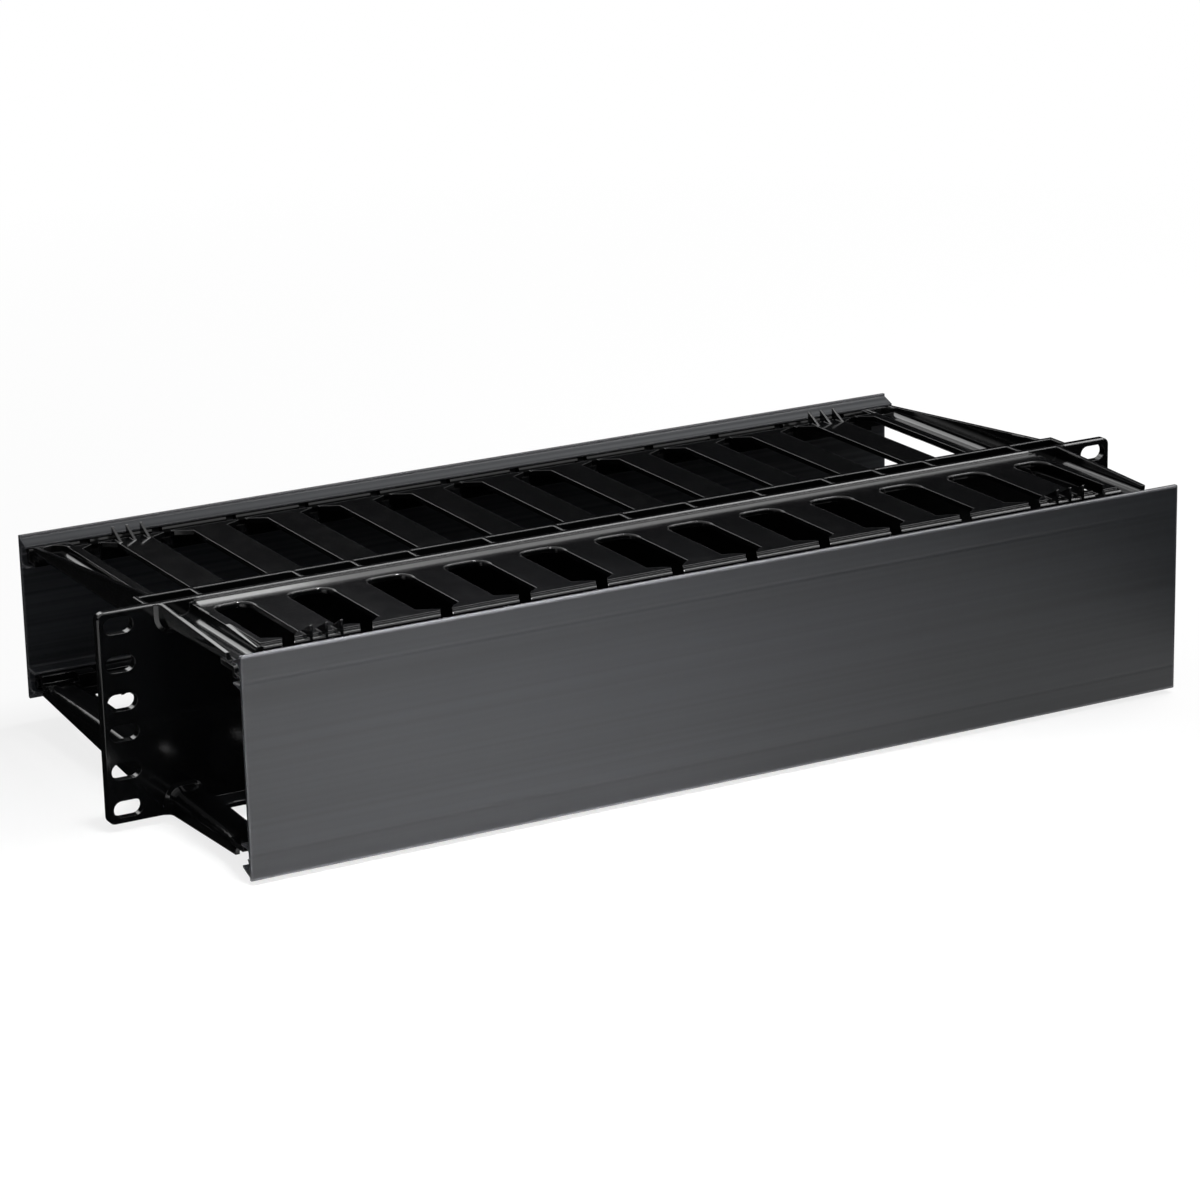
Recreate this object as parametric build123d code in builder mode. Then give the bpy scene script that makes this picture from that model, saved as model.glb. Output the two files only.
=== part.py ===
from build123d import *
import os

# Horizontal cable manager for a 19 inch rack, two rack units high, with channels in front and behind.
# Millimetres. X runs to the right seen from the front, Y to the back and Z up.
# The origin is the centre of the panel's front face.

# Rack standard
rack_space = 44.45
units_tall = 2
hole_step = 15.875
ear_slot_margin = 8.75
ear_slot_length = 12.6
ear_slot_width = 7.0

# Panel
panel_width = 482.6
height_clearance = 0.8
panel_thickness = 3.6
panel_corner_radius = 3.2
panel_edge_bevel = 0.6
ear_pad = 0.4
ear_reach = 41.3

# Rows of fingers, the same across the front and the rear
slot_count = 12
finger_width = 15.7
rim_width = 2.65
end_slot_cut = 3.0
finger_plate = 2.2
slot_corner_share = 0.375
strip_rise = 0.7
root_bury = 1.0
bar_lip = 2.0
bar_step_depth = 3.4
bar_step_height = 0.7
bar_edge_bevel = 0.6

# Front row
front_step = 1.65
front_reach = 67.0
front_strip = 10.0
front_bar_depth = 5.3
front_shoulder = 4.2
front_mouth = 5.2
front_mouth_inner_shift = 1.9
front_mouth_outer_shift = -0.4

# Rear wall, the ribs that space it from the panel, and the rear row
rear_gap = 8.4
rear_wall = 2.4
rear_wall_half_width = 220.0
rib_thickness = 1.8
rib_place_shares = (0, 0.1436, 0.2945, 0.4514, 0.5691, 0.6873, 0.8895)
rear_step = 11.15
rear_reach = 118.6
rear_strip = 12.0
rear_bar_depth = 4.5
rear_shoulder = 4.0
rear_mouth = 4.6

# Small upright fins on the end fingers
fin_thickness = 1.2
fin_pitch = 6.5
fin_height = 4.8
fin_length = 9.0

# Trough arms at the ends of each row
arm_width = 14.7
arm_wall = 1.8
arm_corner_radius = 5.0
trough_corner_radius = 3.0
front_arm_flare = 2.5
flare_bend_share = 0.3
rear_trough_end_wall = 1.5
front_arm_setback = 3.4
front_arm_root_depth = 10.5
front_arm_end_depth = 5.6
front_arm_end_drop = 3.0
front_floor_drop = 6.4
front_arm_nose = 7.8
rear_arm_lead = 4.0
rear_arm_depth = 16.5
rear_arm_end_drop = 11.0
rear_floor_drop = 14.3
rear_arm_nose = 1.4
nose_bevel = 0.8

# Hinge bead that runs along every finger tip, on a neck and a tongue
bead_radius = 2.0
bead_side_count = 8
neck_thickness = 2.0
tongue_drop = 4.0
tongue_thickness = 1.6
front_bead_stand = 12.2
front_bead_drop = 3.5
rear_bead_stand = 10.7
rear_bead_drop = 2.95

# Covers
cover_thickness = 1.8
cover_overhang = 2.3
cover_rise = 6.4
cover_crest = 1.2
bead_clearance = 0.1
cover_gap = 2.5
flange_reach = 3.7
flange_tip = 0.8
lip_clearance = 0.25
lip_drop = 1.9
leg_clearance = 0.3
leg_reach = 6.7
leg_tip = 0.8
leg_root = 1.6
leg_root_radius = 1.0
cover_edge_radius = 0.5

# Screws that join the rear frame to the panel
screw_place_share = 0.628
screw_height_share = 0.45
boss_radius = 4.2
screw_radius = 1.75
screw_length = 9.5
screw_fit = 0.1
screw_head_radius = 3.5
screw_head_height = 2.4
drive_width = 1.0
drive_length = 4.0
drive_depth = 1.3

cut_overrun = 1.0

# Sizes that follow from the ones above
panel_height = units_tall * rack_space - height_clearance
half_height = panel_height / 2
ear_slot_x = panel_width / 2 - ear_slot_margin
row_half = panel_width / 2 - ear_reach
slot_width = (2 * (row_half - rim_width + end_slot_cut) - (slot_count - 1) * finger_width) / slot_count
finger_pitch = finger_width + slot_width
end_slot_width = slot_width - end_slot_cut
slot_corner_radius = slot_corner_share * end_slot_width
end_finger_x = (slot_count / 2 - 1) * finger_pitch
arm_inner = row_half - rim_width / 2
arm_outer = row_half + arm_width
cover_half_length = arm_outer + cover_overhang
front_top = half_height - front_step
rear_top = half_height - rear_step
rear_wall_front = panel_thickness + rear_gap
rear_root = rear_wall_front + rear_wall
front_arm_length = front_reach - front_arm_setback
rear_arm_length = rear_reach + rear_arm_lead
front_bead = front_reach + front_bead_stand
front_bead_z = front_top - front_bead_drop
rear_bead = rear_root + rear_reach + rear_bead_stand
rear_bead_z = rear_top - rear_bead_drop
socket_radius = bead_radius + bead_clearance

slot_places = []
for number in range(slot_count):
    centre = (number - (slot_count - 1) / 2) * finger_pitch
    if number == 0:
        slot_places.append((centre + end_slot_cut / 2, end_slot_width))
    elif number == slot_count - 1:
        slot_places.append((centre - end_slot_cut / 2, end_slot_width))
    else:
        slot_places.append((centre, slot_width))

screw_points = []
for side in (-1, 1):
    for level in (-1, 1):
        screw_x = side * screw_place_share * rear_wall_half_width
        screw_points.append((screw_x, level * screw_height_share * half_height))


def round_corner(sketch, point, radius):
    """Rounds the corner of a sketch that lies nearest to a point."""
    fillet(sketch.vertices().sort_by_distance(point)[0], radius)


def bevel_corner(sketch, point, length):
    """Bevels the corner of a sketch that lies nearest to a point."""
    chamfer(sketch.vertices().sort_by_distance(point)[0], length)


def finger_row(root, way, reach, top, strip, rise, bar, shoulder, mouth, shifts, stand, drop):
    """An upper row of fingers, from the wall at root, forwards with way -1 and backwards with way 1."""
    bead_y = root + way * (reach + stand)
    bead_z = top - drop
    start = root - way * root_bury
    tip = root + way * reach
    step_y = tip - way * bar_step_depth
    step_z = top - bar_step_height
    lip_y = tip - way * bar_lip
    underside = top - finger_plate
    tongue_top = bead_z - tongue_drop
    tongue_bottom = tongue_top - tongue_thickness
    neck_back = bead_y - way * neck_thickness / 2
    neck_front = bead_y + way * neck_thickness / 2
    inner_shift, outer_shift = shifts
    with BuildPart() as row:
        # Section of plate, stepped bar, down-turned lip, tongue, neck and bead, drawn out along the row
        with BuildSketch(Plane.YZ) as section:
            with BuildLine():
                Polyline(
                    (start, top),
                    (step_y, top),
                    (step_y, step_z),
                    (tip, step_z),
                    (tip, tongue_top),
                    (neck_back, tongue_top),
                    (neck_back, bead_z),
                    (neck_front, bead_z),
                    (neck_front, tongue_bottom),
                    (lip_y, tongue_bottom),
                    (lip_y, underside),
                    (start, underside),
                    close=True,
                )
            make_face()
            with BuildLine():
                TangentArc((root + way * strip, top), (start, top + rise), tangent=(-way, 0))
                Polyline((start, top + rise), (start, top - finger_plate), (root + way * strip, top))
            make_face()
            with Locations((bead_y, bead_z)):
                RegularPolygon(bead_radius, bead_side_count)
            bevel_corner(section, (tip, step_z), bar_edge_bevel)
        extrude(amount=row_half, both=True)
        # Slots with round back corners, shoulders and a narrow mouth through the bar
        slot_start = root + way * strip
        slot_end = tip - way * (bar + shoulder)
        mouth_start = tip - way * bar
        mouth_end = bead_y + way * (bead_radius + cut_overrun)
        with BuildSketch(Plane.XY.offset(tongue_bottom - cut_overrun)) as slots:
            for x, width in slot_places:
                with BuildLine():
                    Polyline(
                        (x - width / 2, slot_start),
                        (x + width / 2, slot_start),
                        (x + width / 2, slot_end),
                        (x + inner_shift + mouth / 2, mouth_start),
                        (x + outer_shift + mouth / 2, tip),
                        (x + outer_shift + mouth / 2, mouth_end),
                        (x + outer_shift - mouth / 2, mouth_end),
                        (x + outer_shift - mouth / 2, tip),
                        (x + inner_shift - mouth / 2, mouth_start),
                        (x - width / 2, slot_end),
                        close=True,
                    )
                make_face()
            ends = slots.vertices().group_by(Axis.Y)
            back = ends[-1] if way < 0 else ends[0]
            fillet(back, slot_corner_radius)
        extrude(amount=top - tongue_bottom + 2 * cut_overrun, mode=Mode.SUBTRACT)
        # Three upright fins on each end finger
        for side in (-1, 1):
            for place in (-1, 0, 1):
                fin_x = side * end_finger_x + place * fin_pitch
                with BuildSketch(Plane.YZ.offset(fin_x - fin_thickness / 2)):
                    with BuildLine():
                        Polyline(
                            (tip, underside),
                            (tip, top + fin_height),
                            (tip - way * fin_length, top),
                            (tip - way * fin_length, underside),
                            close=True,
                        )
                    make_face()
                extrude(amount=fin_thickness)
    return row.part


def trough_arm(root, way, length, bottoms, tops, flare, floor, row_top, end_wall, nose, bead_y, bead_z):
    """The right-hand trough arm of an upper row: a channel open upwards that ends in a length of bead."""
    start = root - way * root_bury
    end = root + way * length
    stations = [(start, flare)]
    if flare:
        bend = flare_bend_share * flare
        stations += [(root, flare), (root + way * bend, bend), (root + way * flare, 0)]
    stations.append((end, 0))
    with BuildPart() as arm:
        for y, spread in stations:
            share = (y - start) / (end - start)
            bottom = bottoms[0] + share * (bottoms[1] - bottoms[0]) - spread
            top = tops[0] + share * (tops[1] - tops[0])
            with BuildSketch(Plane.XZ.offset(-y)) as outline:
                with BuildLine():
                    Polyline(
                        (arm_inner, top),
                        (arm_outer + spread, top),
                        (arm_outer + spread, bottom),
                        (arm_inner, bottom),
                        close=True,
                    )
                make_face()
                fillet(outline.vertices().group_by(Axis.Y)[0], arm_corner_radius + spread)
        loft(ruled=True)
        # The trough, and the inner wall taken down to the fingers
        with BuildSketch(Plane.XZ.offset(-root)) as trough:
            with BuildLine():
                Polyline(
                    (arm_inner - cut_overrun, row_top),
                    (arm_inner + arm_wall + rim_width / 2, row_top),
                    (arm_inner + arm_wall + rim_width / 2, floor),
                    (arm_outer - arm_wall, floor),
                    (arm_outer - arm_wall, half_height + cut_overrun),
                    (arm_inner - cut_overrun, half_height + cut_overrun),
                    close=True,
                )
            make_face()
            fillet(trough.vertices().group_by(Axis.Y)[0], trough_corner_radius)
        extrude(amount=-way * (length + cut_overrun), mode=Mode.SUBTRACT)
        # Wall that closes the trough in a half round
        if end_wall:
            trough_left = arm_inner + rim_width / 2 + arm_wall
            trough_right = arm_outer - arm_wall
            trough_middle = (trough_left + trough_right) / 2
            round_radius = (trough_right - trough_left) / 2
            round_y = end - way * (end_wall + round_radius)
            with BuildSketch(Plane.XY.offset(floor - arm_wall / 2)):
                with Locations((trough_middle, (round_y + end) / 2)):
                    Rectangle(trough_right - trough_left + arm_wall, abs(end - round_y))
                with Locations((trough_middle, round_y)):
                    Circle(round_radius, mode=Mode.SUBTRACT)
            extrude(amount=tops[1] - floor + arm_wall / 2)
        # Rounded nose, tongue, neck and bead
        tongue_top = bead_z - tongue_drop
        tongue_bottom = tongue_top - tongue_thickness
        nose_y = end + way * nose
        with BuildSketch(Plane.YZ.offset(row_half - rim_width / 2)) as section:
            with BuildLine():
                Polyline(
                    (end - way * arm_corner_radius, floor),
                    (nose_y, floor),
                    (nose_y, tongue_top),
                    (bead_y - way * neck_thickness / 2, tongue_top),
                    (bead_y - way * neck_thickness / 2, bead_z),
                    (bead_y + way * neck_thickness / 2, bead_z),
                    (bead_y + way * neck_thickness / 2, tongue_bottom),
                    (nose_y - way * bar_lip, tongue_bottom),
                    (nose_y - way * bar_lip, bottoms[1]),
                    (end - way * arm_corner_radius, bottoms[1]),
                    close=True,
                )
            make_face()
            with Locations((bead_y, bead_z)):
                RegularPolygon(bead_radius, bead_side_count)
            bevel_corner(section, (nose_y, floor), nose_bevel)
        extrude(amount=arm_outer - row_half + rim_width / 2)
    return arm.part


def cover(bead_y, bead_z, way):
    """An extruded cover with a hook channel along its top and its bottom edge."""
    inner = bead_y + way * cover_gap
    outer = inner + way * cover_thickness
    top = bead_z + cover_rise
    under = bead_z + socket_radius
    tip = bead_y - way * flange_reach
    lip_y = bead_y + way * (neck_thickness / 2 + lip_clearance)
    leg_top = bead_z - tongue_drop - tongue_thickness - leg_clearance
    leg_end = inner - way * leg_reach
    leg_root_top_radius = cover_gap - neck_thickness / 2
    with BuildPart() as body:
        with BuildSketch(Plane.YZ) as section:
            # Plate, flange and leg
            with BuildLine():
                Polyline(
                    (outer, 0),
                    (outer, top),
                    (inner, top),
                    (inner, top - cover_crest),
                    (tip, under + flange_tip),
                    (tip, under),
                    (inner, under),
                    (inner, leg_top),
                    (leg_end, leg_top),
                    (leg_end, leg_top - leg_tip),
                    (inner, leg_top - leg_root),
                    (inner, 0),
                    close=True,
                )
            make_face()
            round_corner(section, (inner, leg_top), leg_root_top_radius)
            round_corner(section, (inner, leg_top - leg_root), leg_root_radius)
            round_corner(section, (outer, top), cover_edge_radius)
            # Socket that the bead turns in
            with BuildLine():
                Polyline(
                    (bead_y, under),
                    (inner, under),
                    (inner, bead_z - lip_drop),
                    (lip_y, bead_z - lip_drop),
                    (bead_y, bead_z),
                    close=True,
                )
            make_face()
            with Locations((bead_y, bead_z)):
                Circle(socket_radius, mode=Mode.SUBTRACT)
            mirror(about=Plane.XZ)
        extrude(amount=cover_half_length, both=True)
    return body.part


# Rack panel with the front fingers, one moulding
front_row = finger_row(
    0, -1, front_reach, front_top, front_strip, strip_rise, front_bar_depth, front_shoulder,
    front_mouth, (front_mouth_inner_shift, front_mouth_outer_shift), front_bead_stand, front_bead_drop,
)
front_arm = trough_arm(
    0, -1, front_arm_length,
    (half_height - front_arm_root_depth, half_height - front_arm_end_drop - front_arm_end_depth),
    (half_height, half_height - front_arm_end_drop), front_arm_flare,
    half_height - front_floor_drop, front_top, 0, front_arm_nose, -front_bead, front_bead_z,
)

with BuildPart() as rack_panel:
    with BuildSketch(Plane.XZ) as plate:
        Rectangle(panel_width, panel_height)
        fillet(plate.vertices(), panel_corner_radius)
    extrude(amount=-panel_thickness)
    rim = rack_panel.faces().sort_by(Axis.Y)[0].edges()
    chamfer(rim, panel_edge_bevel)
    with BuildSketch(Plane.XZ.offset(-panel_thickness)):
        Rectangle(2 * rear_wall_half_width, panel_height)
    extrude(amount=ear_pad, mode=Mode.SUBTRACT)
    with BuildSketch(Plane.XZ):
        for unit in range(units_tall):
            unit_z = (unit - (units_tall - 1) / 2) * rack_space
            for step in (-1, 0, 1):
                with Locations((-ear_slot_x, unit_z + step * hole_step), (ear_slot_x, unit_z + step * hole_step)):
                    SlotOverall(ear_slot_length, ear_slot_width)
    extrude(amount=-panel_thickness, mode=Mode.SUBTRACT)
    add(front_row)
    add(front_arm)
    add(mirror(front_arm, about=Plane.YZ, mode=Mode.PRIVATE))
    mirror(about=Plane.XY)
    # Bosses behind the panel that take the joining screws
    with BuildSketch(Plane.XZ.offset(-rear_wall_front)):
        with Locations(*screw_points):
            Circle(boss_radius)
    extrude(amount=rear_gap + ear_pad)
    with BuildSketch(Plane.XZ.offset(-rear_wall_front)):
        with Locations(*screw_points):
            Circle(screw_radius + screw_fit)
    extrude(amount=rear_gap, mode=Mode.SUBTRACT)
rack_panel.part.label = "rack_panel"

# Rear frame with the rear fingers, a second moulding
rear_row = finger_row(
    rear_root, 1, rear_reach, rear_top, rear_strip, strip_rise, rear_bar_depth, rear_shoulder,
    rear_mouth, (0, 0), rear_bead_stand, rear_bead_drop,
)
rear_arm = trough_arm(
    rear_root, 1, rear_arm_length,
    (half_height - rear_arm_depth, half_height - rear_arm_depth),
    (half_height, half_height - rear_arm_end_drop), 0,
    half_height - rear_floor_drop, rear_top, rear_trough_end_wall, rear_arm_nose, rear_bead, rear_bead_z,
)

with BuildPart() as rear_frame:
    with BuildSketch(Plane.XZ.offset(-rear_wall_front)):
        Rectangle(2 * rear_wall_half_width, panel_height)
    extrude(amount=-rear_wall)
    with BuildSketch(Plane.XZ.offset(-rear_wall_front)):
        for share in rib_place_shares:
            for side in (-1, 1):
                with Locations((side * share * rear_wall_half_width, 0)):
                    Rectangle(rib_thickness, panel_height)
        for side in (-1, 1):
            with Locations((side * (rear_wall_half_width - rib_thickness / 2), 0)):
                Rectangle(rib_thickness, panel_height)
    extrude(amount=rear_gap + ear_pad)
    add(rear_row)
    add(rear_arm)
    add(mirror(rear_arm, about=Plane.YZ, mode=Mode.PRIVATE))
    mirror(about=Plane.XY)
    with BuildSketch(Plane.XZ.offset(-rear_wall_front)):
        with Locations(*screw_points):
            Circle(screw_radius + screw_fit)
    extrude(amount=-rear_wall, mode=Mode.SUBTRACT)
rear_frame.part.label = "rear_frame"

# Joining screws with pan heads and cross recesses
with BuildPart() as joining_screws:
    with BuildSketch(Plane.XZ.offset(-rear_root)):
        with Locations(*screw_points):
            Circle(screw_radius)
    extrude(amount=screw_length)
    with BuildSketch(Plane.XZ.offset(-rear_root)):
        with Locations(*screw_points):
            Circle(screw_head_radius)
    extrude(amount=-screw_head_height)
    with BuildSketch(Plane.XZ.offset(-rear_root - screw_head_height)):
        with Locations(*screw_points):
            Rectangle(drive_length, drive_width)
            Rectangle(drive_width, drive_length)
    extrude(amount=drive_depth, mode=Mode.SUBTRACT)
joining_screws.part.label = "joining_screws"

front_cover = cover(-front_bead, front_bead_z, -1)
front_cover.label = "front_cover"
rear_cover = cover(rear_bead, rear_bead_z, 1)
rear_cover.label = "rear_cover"

os.makedirs("parts", exist_ok=True)
export_step(rack_panel.part, "parts/rack_panel.step")
export_step(rear_frame.part, "parts/rear_frame.step")
export_step(joining_screws.part, "parts/joining_screws.step")
export_step(front_cover, "parts/front_cover.step")
export_step(rear_cover, "parts/rear_cover.step")
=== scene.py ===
# %% [markdown]
# # A cable manager for a 19 inch rack
#
# The object is two rack units high. A black moulded panel carries a row of fingers at its top and
# its bottom edge, and a second moulding behind it does the same towards the back of the rack. An
# extruded cover closes each channel and hangs on a bead that runs along the finger tips. The shapes
# come finished from the frame, so this lesson is about the camera, the light and the plastics.

import math

import bpy
from mathutils import Matrix, Vector


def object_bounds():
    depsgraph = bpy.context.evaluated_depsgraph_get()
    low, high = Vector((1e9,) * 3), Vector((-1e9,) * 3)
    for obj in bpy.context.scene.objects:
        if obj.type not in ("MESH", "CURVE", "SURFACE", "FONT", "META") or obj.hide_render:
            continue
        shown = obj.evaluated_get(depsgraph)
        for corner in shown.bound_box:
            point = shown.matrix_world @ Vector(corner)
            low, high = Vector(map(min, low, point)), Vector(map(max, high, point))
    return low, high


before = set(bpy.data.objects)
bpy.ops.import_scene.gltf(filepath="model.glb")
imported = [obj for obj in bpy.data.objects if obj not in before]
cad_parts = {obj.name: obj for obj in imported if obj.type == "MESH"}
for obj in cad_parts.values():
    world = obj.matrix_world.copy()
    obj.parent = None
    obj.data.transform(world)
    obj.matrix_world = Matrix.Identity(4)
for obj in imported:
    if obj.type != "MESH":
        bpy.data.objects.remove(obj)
cad_low, cad_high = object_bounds()
MM = 0.001
print("nodes:", sorted(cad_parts))
print("size in mm:", [round((high - low) / MM, 1) for low, high in zip(cad_low, cad_high)])

# %% [markdown]
# ## The camera
#
# A product photograph is taken from far away with a long lens, so that upright edges stay nearly
# upright. The camera could be aimed by eye, but the panel's four corners are at known places on the
# real thing, so its place and its three angles were solved from them and are written down here.

# %% Camera
CAMERA_PLACE = (-0.80039, -1.44377, 0.52061)
CAMERA_AZIMUTH = 0.4969
CAMERA_DROP = 0.3002
CAMERA_ROLL = -0.0234
FOCAL_PIXELS = 4118.7
IMAGE_PIXELS = 1200
SENSOR_WIDTH = 36


def make_camera():
    data = bpy.data.cameras.new("studio_camera")
    data.sensor_width = SENSOR_WIDTH
    data.lens = FOCAL_PIXELS / IMAGE_PIXELS * SENSOR_WIDTH
    camera = bpy.data.objects.new("studio_camera", data)
    bpy.context.scene.collection.objects.link(camera)
    turn = Matrix.Rotation(-CAMERA_AZIMUTH, 4, "Z")
    tilt = Matrix.Rotation(math.pi / 2 - CAMERA_DROP, 4, "X")
    roll = Matrix.Rotation(CAMERA_ROLL, 4, "Z")
    camera.matrix_world = Matrix.Translation(CAMERA_PLACE) @ turn @ tilt @ roll
    bpy.context.scene.camera = camera
    return camera


camera = make_camera()
print("lens:", round(camera.data.lens, 1), "mm")

# %% [markdown]
# ## Colours and nodes
#
# Colours are written as the hex values that a colour picker shows. Blender computes with linear
# light, so one function turns the one into the other. A second small function adds a shader node
# with its settings and its links, which keeps each material short enough to read.

# %% Colour and node helpers
def rgb(hex_value):
    channels = [int(hex_value[i:i + 2], 16) / 255 for i in (1, 3, 5)]
    linear = [c / 12.92 if c <= 0.04045 else ((c + 0.055) / 1.055) ** 2.4 for c in channels]
    return (*linear, 1.0)


def node(tree, kind, settings=None, **links):
    """Adds a shader node. A key of links is an input's name, with _ for a space, or _ and its
    number. A value is a constant or the socket that feeds the input."""
    made = tree.nodes.new(kind)
    for name, value in (settings or {}).items():
        setattr(made, name, value)
    for name, value in links.items():
        spot = made.inputs[int(name[1:])] if name[1:].isdigit() else made.inputs[name.replace("_", " ")]
        if isinstance(value, bpy.types.NodeSocket):
            tree.links.new(value, spot)
        else:
            spot.default_value = value
    return made


def new_material(name):
    material = bpy.data.materials.new(name)
    material.use_nodes = True
    material.node_tree.nodes.clear()
    return material, material.node_tree


def seen_as_white(tree):
    """1 for a ray from the camera, off a mirror or through glass, and 0 for rays that carry light."""
    path = node(tree, "ShaderNodeLightPath")
    seen = node(tree, "ShaderNodeMath", {"operation": "MAXIMUM"},
                _0=path.outputs["Is Camera Ray"], _1=path.outputs["Is Glossy Ray"])
    return node(tree, "ShaderNodeMath", {"operation": "MAXIMUM"},
                _0=seen.outputs[0], _1=path.outputs["Is Transmission Ray"]).outputs[0]


print("the middle grey #808080 is", round(rgb("#808080")[0], 3), "in linear light")

# %% [markdown]
# ## The studio
#
# The object stands in a white sweep under a broad bright ceiling. Whatever the camera, a mirror or a
# clear part sees of that white has a strength of 1, through the Light Path node, while the light that
# the room adds to the object is weaker than that. The lamps below bring the rest, so that a colour
# renders about as it is written.

# %% World
ROOM_LIGHT = 0.3


def make_world():
    world = bpy.data.worlds.new("white_sweep")
    world.use_nodes = True
    tree = world.node_tree
    tree.nodes.clear()
    light = node(tree, "ShaderNodeBackground", Color=rgb("#ffffff"), Strength=ROOM_LIGHT)
    white = node(tree, "ShaderNodeBackground", Color=rgb("#ffffff"), Strength=1.0)
    mix = node(tree, "ShaderNodeMixShader", _0=seen_as_white(tree), _1=light.outputs[0], _2=white.outputs[0])
    node(tree, "ShaderNodeOutputWorld", Surface=mix.outputs[0])
    bpy.context.scene.world = world


make_world()
bpy.context.scene.view_settings.view_transform = "Standard"
print("room light:", ROOM_LIGHT)

# %% [markdown]
# ## The floor
#
# The floor is a large matt sheet at the object's lowest edge. It has to look white and still show the
# soft shadow under the object. So the eye gets a mix of plain white and of the lit, shaded sheet, and
# farther from the object nothing but the white, so that no horizon shows.

# %% Floor
FLOOR_HALF = 6.0
FLOOR_WHITE_SHARE = 0.8
SHADOW_REACH = 0.4
FADE_REACH = 1.2
floor_level = cad_low[2]


def stage_mesh(name, points, faces, material):
    mesh = bpy.data.meshes.new(name)
    mesh.from_pydata(points, [], faces)
    mesh.materials.append(material)
    made = bpy.data.objects.new(name, mesh)
    bpy.context.scene.collection.objects.link(made)
    return made


def sheet(name, corners, level, material):
    return stage_mesh(name, [(x, y, level) for x, y in corners], [tuple(range(len(corners)))], material)


def white_paper(name):
    material, tree = new_material(name)
    where = node(tree, "ShaderNodeTexCoord").outputs["Object"]
    away = node(tree, "ShaderNodeVectorMath", {"operation": "LENGTH"}, Vector=where)
    fade = node(tree, "ShaderNodeMapRange", Value=away.outputs["Value"], From_Min=SHADOW_REACH,
                From_Max=FADE_REACH, To_Min=FLOOR_WHITE_SHARE, To_Max=1.0)
    share = node(tree, "ShaderNodeMath", {"operation": "MULTIPLY"},
                 _0=seen_as_white(tree), _1=fade.outputs[0])
    paper = node(tree, "ShaderNodeBsdfDiffuse", Color=rgb("#f4f4f4"))
    white = node(tree, "ShaderNodeEmission", Color=rgb("#ffffff"), Strength=1.0)
    mix = node(tree, "ShaderNodeMixShader", _0=share.outputs[0], _1=paper.outputs[0], _2=white.outputs[0])
    node(tree, "ShaderNodeOutputMaterial", Surface=mix.outputs[0])
    return material


floor_corners = ((-FLOOR_HALF, -FLOOR_HALF), (FLOOR_HALF, -FLOOR_HALF),
                 (FLOOR_HALF, FLOOR_HALF), (-FLOOR_HALF, FLOOR_HALF))
sheet("studio_floor", floor_corners, floor_level, white_paper("white_paper_sweep"))
print("floor at", round(floor_level / MM, 1), "mm")

# %% [markdown]
# ## Black flags
#
# Black gloss shows little but what it mirrors, and in a wholly white room it turns grey. A
# photographer sets black cards round such a thing, called flags, just out of the picture. One lies on
# the floor and leaves only the front left of the table open, which the front cover mirrors. The other
# is a low wall all round, so that a flat top mirrors the wall, and a slope or a rounded edge mirrors
# the ceiling. The renderer can hide them from the camera and keep them out of the light.

# %% Flags
FLAG_LIFT = 1 * MM
FLAG_DISTANCE = 2.6
FLAG_HEIGHT = 1.07
WALL_SIDES = 48
OPEN_TABLE = ((-0.9, -0.075), (0.28, -0.075), (0.27, -0.2), (0.15, -0.9), (-0.9, -0.9))


def black_felt(name):
    material, tree = new_material(name)
    felt = node(tree, "ShaderNodeBsdfDiffuse", Color=rgb("#161616"))
    node(tree, "ShaderNodeOutputMaterial", Surface=felt.outputs[0])
    return material


def out_of_the_light(flag):
    flag.visible_camera = False
    flag.visible_diffuse = False
    flag.visible_shadow = False
    flag.visible_transmission = False


def table_flag(material):
    """The floor's square with the open part of the table cut into its left side."""
    way_in, way_out = (-FLOOR_HALF, OPEN_TABLE[0][1]), (-FLOOR_HALF, OPEN_TABLE[-1][1])
    outline = (*floor_corners, way_in, *OPEN_TABLE, way_out)
    out_of_the_light(sheet("flag_table", outline, floor_level + FLAG_LIFT, material))


def wall_flag(material):
    angles = [2 * math.pi * n / WALL_SIDES for n in range(WALL_SIDES)]
    ring = [(FLAG_DISTANCE * math.cos(angle), FLAG_DISTANCE * math.sin(angle)) for angle in angles]
    points = [(x, y, level) for level in (floor_level, FLAG_HEIGHT) for x, y in ring]
    pairs = [(n, (n + 1) % WALL_SIDES) for n in range(WALL_SIDES)]
    faces = [(first, second, second + WALL_SIDES, first + WALL_SIDES) for first, second in pairs]
    out_of_the_light(stage_mesh("flag_wall", points, faces, material))


felt = black_felt("black_felt_flag")
table_flag(felt)
wall_flag(felt)

# %% [markdown]
# ## The lamps
#
# Three soft lamps from above make up the plain level of light. A large one hangs at the upper right,
# where the long edges mirror it as thin pale lines. One behind the object does the same for the edges
# of the slots. A small one lights only the table in front on the left, which the front cover mirrors.

# %% Lamps
OBJECT_MIDDLE = (0.0, 0.02, 0.0)
TABLE_SPOT = (-0.14, -0.24, -0.05)
SPOT_SPREAD = 28


def lamp(name, place, aim, size, watts):
    data = bpy.data.lights.new(name, "AREA")
    data.shape = "RECTANGLE"
    data.size, data.size_y = size
    data.energy = watts
    made = bpy.data.objects.new(name, data)
    bpy.context.scene.collection.objects.link(made)
    made.location = place
    made.rotation_euler = (Vector(place) - Vector(aim)).to_track_quat("Z", "Y").to_euler()
    return made


lamp("over_right", place=(0.8, 0.0, 1.4), aim=OBJECT_MIDDLE, size=(0.95, 1.1), watts=24)
lamp("behind", place=(0.0, 1.7, 1.05), aim=OBJECT_MIDDLE, size=(1.4, 0.45), watts=3.8)
table_left = lamp("table_left", place=(-0.14, -0.27, 1.1), aim=TABLE_SPOT, size=(0.2, 0.2), watts=1.8)
table_left.data.spread = math.radians(SPOT_SPREAD)

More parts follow.
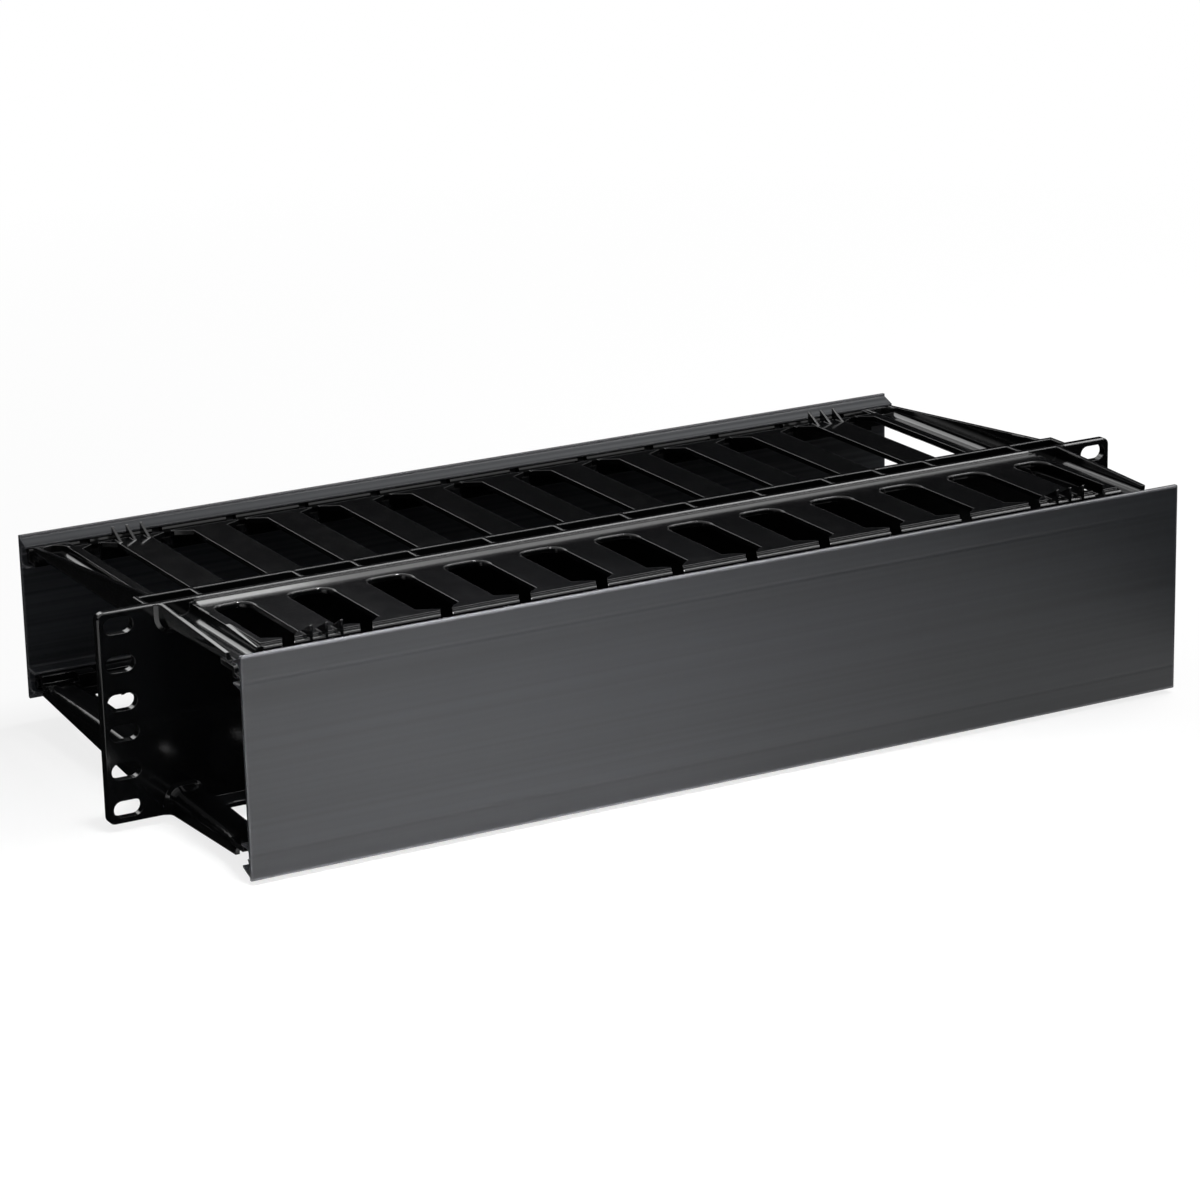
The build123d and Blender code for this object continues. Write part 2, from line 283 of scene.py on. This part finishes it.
# %% [markdown]
# ## Moulded black ABS
#
# The panel and the rear frame are injection moulded from ABS in a polished mould. What that gives the
# eye is a near black with a clear gloss, a faint waviness where the wall shrank as it cooled, and
# edges that are never quite sharp, so each carries a thin bright line. The line could be drawn as
# paint, but it has to move with the light, so the edge is rounded in the shader by the Bevel node.
# The slots end in a fuller rounding at the root of the fingers, where the mould is eased, and the rim
# along the top and the bottom is eased too, so the radius grows there. The mould's grain is well
# under 0.1 mm, too fine to show, so it is drawn about ten times as coarse.

# %% Moulded ABS
ABS_IOR = 1.53
ABS_ROUGHNESS = (0.1, 0.14)
ABS_COLOURS = ("#070708", "#0a0b0c")
BEVEL_SAMPLES = 6
EDGE_RADIUS = 0.45 * MM
ROOT_RADIUS = 1.6 * MM
FRONT_ROOT = -13 * MM
REAR_ROOT = 29.4 * MM
ROOT_REACH = (3.6 * MM, 6 * MM)
RIM_RADIUS = 1.0 * MM
RIM_START = (42.8 * MM, 43.3 * MM)
SHRINK_WAVE = 30 * MM
MOULD_GRAIN = 0.9 * MM
SCUFF_LENGTH = 9 * MM


def distance(tree, value, line):
    """How far a coordinate is from a line, on either side of it."""
    away = node(tree, "ShaderNodeMath", {"operation": "SUBTRACT"}, _0=value, _1=line)
    return node(tree, "ShaderNodeMath", {"operation": "ABSOLUTE"}, _0=away.outputs[0]).outputs[0]


def edge_radius(tree, where, root):
    """The rounding of the edges, larger along the rim and where the slots end at the fingers' root."""
    place = node(tree, "ShaderNodeSeparateXYZ", Vector=where)
    slots = node(tree, "ShaderNodeMapRange", Value=distance(tree, place.outputs["Y"], root),
                 From_Min=ROOT_REACH[0], From_Max=ROOT_REACH[1], To_Min=ROOT_RADIUS, To_Max=EDGE_RADIUS)
    rim = node(tree, "ShaderNodeMapRange", Value=distance(tree, place.outputs["Z"], 0.0),
               From_Min=RIM_START[0], From_Max=RIM_START[1], To_Min=0.0, To_Max=RIM_RADIUS)
    return node(tree, "ShaderNodeMath", {"operation": "MAXIMUM"},
                _0=slots.outputs[0], _1=rim.outputs[0]).outputs[0]


def moulded_abs(name, root):
    material, tree = new_material(name)
    where = node(tree, "ShaderNodeTexCoord").outputs["Object"]
    cloud = node(tree, "ShaderNodeTexNoise", Vector=where, Scale=1 / SHRINK_WAVE, Detail=1.0)
    grain = node(tree, "ShaderNodeTexNoise", Vector=where, Scale=1 / MOULD_GRAIN, Detail=3.0)
    scuff = node(tree, "ShaderNodeTexNoise", Vector=where, Scale=1 / SCUFF_LENGTH, Detail=8.0, Roughness=0.7)
    colour = node(tree, "ShaderNodeMix", {"data_type": "RGBA"}, Factor=cloud.outputs["Fac"],
                  _6=rgb(ABS_COLOURS[0]), _7=rgb(ABS_COLOURS[1]))
    rough = node(tree, "ShaderNodeMapRange", Value=scuff.outputs["Fac"], From_Min=0.45, From_Max=0.75,
                 To_Min=ABS_ROUGHNESS[0], To_Max=ABS_ROUGHNESS[1])
    rounded = node(tree, "ShaderNodeBevel", {"samples": BEVEL_SAMPLES}, Radius=edge_radius(tree, where, root))
    wave = node(tree, "ShaderNodeBump", Height=cloud.outputs["Fac"], Normal=rounded.outputs[0],
                Strength=0.08, Distance=0.2 * MM)
    skin = node(tree, "ShaderNodeBump", Height=grain.outputs["Fac"], Normal=wave.outputs[0],
                Strength=0.04, Distance=0.02 * MM)
    plastic = node(tree, "ShaderNodeBsdfPrincipled", Base_Color=colour.outputs[2], IOR=ABS_IOR,
                   Roughness=rough.outputs[0], Normal=skin.outputs[0])
    node(tree, "ShaderNodeOutputMaterial", Surface=plastic.outputs[0])
    return material


panel_abs = moulded_abs("moulded_abs_panel", FRONT_ROOT)
frame_abs = moulded_abs("moulded_abs_rear_frame", REAR_ROOT)
print("made", panel_abs.name, "and", frame_abs.name)

# %% [markdown]
# ## Extruded PVC
#
# Both covers are sawn from a long extruded section. The die leaves very fine lines along the length,
# and the pull-off leaves broader bands that are a little more or less glossy. The surface is satin,
# so it takes up the light of the room as a soft gradient. A noise that is stretched along the length
# makes both kinds of line, and one that isn't stretched adds the marks of handling. Where the hook
# channels stand on the inside, the thicker wall shrinks more and leaves a faint furrow outside. Real
# die lines are about 0.1 mm apart, too fine to show, so they are drawn about twenty times as coarse.
# Hands and packing rub the edges first, so the rim and every sharp edge are smoother. They are also
# painted paler: a painted highlight, which strengthens the thin bright line along them. The rim is
# known by its height, and a sharp edge by the Bevel node, which turns the normal there.

# %% Extruded cover
PVC_IOR = 1.54
PVC_ROUGHNESS = (0.38, 0.43)
RUBBED_ROUGHNESS = 0.15
# The pale grey painted on the rim and the sharp edges of the covers: a painted highlight.
PAINTED_HIGHLIGHT_COLOUR = "#58585c"
COVER_EDGE_RADIUS = 1.6 * MM
COVER_RIM = (0.78 * MM, 1.3 * MM)
DIE_LINE = 2 * MM
BAND_HEIGHT = 12 * MM
LINE_STRETCH = 300
HANDLING_MARK = 60 * MM
SINK_WIDTH = 1.3 * MM


def smooth_and_highlight_share(tree, height, rounded, top):
    """1 on the rim and on sharp edges, where they are smoothed and painted a pale highlight, and 0 on the
    flat.
    """
    flat = node(tree, "ShaderNodeNewGeometry").outputs["True Normal"]
    turn = node(tree, "ShaderNodeVectorMath", {"operation": "DOT_PRODUCT"}, _0=rounded, _1=flat)
    sharp = node(tree, "ShaderNodeMapRange", Value=turn.outputs["Value"],
                 From_Min=0.8, From_Max=0.98, To_Min=1.0, To_Max=0.0)
    rim = node(tree, "ShaderNodeMapRange", Value=height, From_Min=top - COVER_RIM[1],
               From_Max=top - COVER_RIM[0])
    return node(tree, "ShaderNodeMath", {"operation": "MAXIMUM"},
                _0=sharp.outputs[0], _1=rim.outputs[0]).outputs[0]


def extruded_pvc(name, piece, colours, gloss, sink):
    """colours and gloss each give the two ends of the streaks, and sink the height of the furrow."""
    material, tree = new_material(name)
    where = node(tree, "ShaderNodeTexCoord").outputs["Object"]
    place = node(tree, "ShaderNodeSeparateXYZ", Vector=where)
    height = distance(tree, place.outputs["Z"], 0.0)
    along = node(tree, "ShaderNodeMapping", Vector=where, Scale=(1 / LINE_STRETCH, 1, 1))
    lines = node(tree, "ShaderNodeTexNoise", Vector=along.outputs[0], Scale=1 / DIE_LINE, Detail=1.0)
    bands = node(tree, "ShaderNodeTexNoise", Vector=along.outputs[0], Scale=1 / BAND_HEIGHT, Detail=3.0)
    marks = node(tree, "ShaderNodeTexNoise", Vector=where, Scale=1 / HANDLING_MARK, Detail=5.0)
    streaks = node(tree, "ShaderNodeMix", {"data_type": "FLOAT"}, Factor=0.5,
                   _2=bands.outputs["Fac"], _3=lines.outputs["Fac"])
    spread = node(tree, "ShaderNodeMapRange", Value=streaks.outputs[0], From_Min=0.38, From_Max=0.62)
    colour = node(tree, "ShaderNodeMix", {"data_type": "RGBA"}, Factor=spread.outputs[0],
                  _6=rgb(colours[0]), _7=rgb(colours[1]))
    shine = node(tree, "ShaderNodeMapRange", Value=spread.outputs[0], To_Min=gloss[0], To_Max=gloss[1])
    both = node(tree, "ShaderNodeMath", {"operation": "ADD"}, _0=streaks.outputs[0], _1=marks.outputs["Fac"])
    rough = node(tree, "ShaderNodeMapRange", Value=both.outputs[0], From_Min=0.75, From_Max=1.25,
                 To_Min=PVC_ROUGHNESS[0], To_Max=PVC_ROUGHNESS[1])

    rounded = node(tree, "ShaderNodeBevel", {"samples": BEVEL_SAMPLES}, Radius=COVER_EDGE_RADIUS)
    top = max(corner[2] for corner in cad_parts[piece].bound_box)
    smooth_and_highlight = smooth_and_highlight_share(tree, height, rounded.outputs[0], top)
    # Painted highlight: the rim and the sharp edges are mixed towards the pale grey.
    colour_with_painted_highlight = node(tree, "ShaderNodeMix", {"data_type": "RGBA"}, Factor=smooth_and_highlight,
                       _6=colour.outputs[2], _7=rgb(PAINTED_HIGHLIGHT_COLOUR))
    worn_rough = node(tree, "ShaderNodeMix", {"data_type": "FLOAT"}, Factor=smooth_and_highlight,
                      _2=rough.outputs[0], _3=RUBBED_ROUGHNESS)

    dip = node(tree, "ShaderNodeMapRange", {"interpolation_type": "SMOOTHSTEP"},
               Value=distance(tree, height, sink), From_Max=SINK_WIDTH)
    furrow = node(tree, "ShaderNodeBump", Height=dip.outputs[0], Normal=rounded.outputs[0],
                  Strength=0.5, Distance=0.12 * MM)
    ridge = node(tree, "ShaderNodeBump", Height=lines.outputs["Fac"], Normal=furrow.outputs[0],
                 Strength=0.3, Distance=0.06 * MM)
    plastic = node(tree, "ShaderNodeBsdfPrincipled", Base_Color=colour_with_painted_highlight.outputs[2], IOR=PVC_IOR,
                   Specular_IOR_Level=shine.outputs[0], Roughness=worn_rough.outputs[0],
                   Normal=ridge.outputs[0])
    node(tree, "ShaderNodeOutputMaterial", Surface=plastic.outputs[0])
    return material


front_pvc = extruded_pvc("extruded_pvc_front_cover", "front_cover", ("#1d1f22", "#222428"),
                         gloss=(0.47, 0.5), sink=34.6 * MM)
# Both covers are the same PVC, but the rear one gets lighter colours: painted light, for the light that
# reaches the inside of the rear channel.
rear_pvc = extruded_pvc("extruded_pvc_rear_cover", "rear_cover", ("#26282b", "#2b2d31"),
                        gloss=(0.12, 0.34), sink=25.6 * MM)
print("made", front_pvc.name, "and", rear_pvc.name)

# %% [markdown]
# ## Zinc-plated steel
#
# Four screws hold the rear frame to the panel. Their zinc plating is a pale metal, a little blue and
# dull, with a cloudy passivated film. A metal has no colour of its own under its gloss, so only the
# metallic value, the tint and an uneven roughness are needed.

# %% Screws
ZINC_COLOURS = ("#a9adb3", "#c6c7c4")
ZINC_ROUGHNESS = (0.22, 0.48)
ZINC_CLOUD = 1.5 * MM


def zinc_steel(name):
    material, tree = new_material(name)
    where = node(tree, "ShaderNodeTexCoord").outputs["Object"]
    cloud = node(tree, "ShaderNodeTexNoise", Vector=where, Scale=1 / ZINC_CLOUD, Detail=4.0)
    colour = node(tree, "ShaderNodeMix", {"data_type": "RGBA"}, Factor=cloud.outputs["Fac"],
                  _6=rgb(ZINC_COLOURS[0]), _7=rgb(ZINC_COLOURS[1]))
    rough = node(tree, "ShaderNodeMapRange", Value=cloud.outputs["Fac"],
                 To_Min=ZINC_ROUGHNESS[0], To_Max=ZINC_ROUGHNESS[1])
    rounded = node(tree, "ShaderNodeBevel", {"samples": BEVEL_SAMPLES}, Radius=EDGE_RADIUS)
    steel = node(tree, "ShaderNodeBsdfPrincipled", Base_Color=colour.outputs[2], Metallic=1.0,
                 Roughness=rough.outputs[0], Normal=rounded.outputs[0])
    node(tree, "ShaderNodeOutputMaterial", Surface=steel.outputs[0])
    return material


screw_zinc = zinc_steel("zinc_plated_steel")
print("made", screw_zinc.name)

# %% [markdown]
# ## Each piece gets its finish
#
# The nodes of the frame keep their place and their mesh. Only the materials in their slots change.

# %% Materials on the nodes
FINISHES = {
    "rack_panel": panel_abs,
    "rear_frame": frame_abs,
    "front_cover": front_pvc,
    "rear_cover": rear_pvc,
    "joining_screws": screw_zinc,
}
for name, material in FINISHES.items():
    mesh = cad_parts[name].data
    if not mesh.materials:
        mesh.materials.append(material)
    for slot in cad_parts[name].material_slots:
        slot.material = material
    print(name, "wears", material.name)
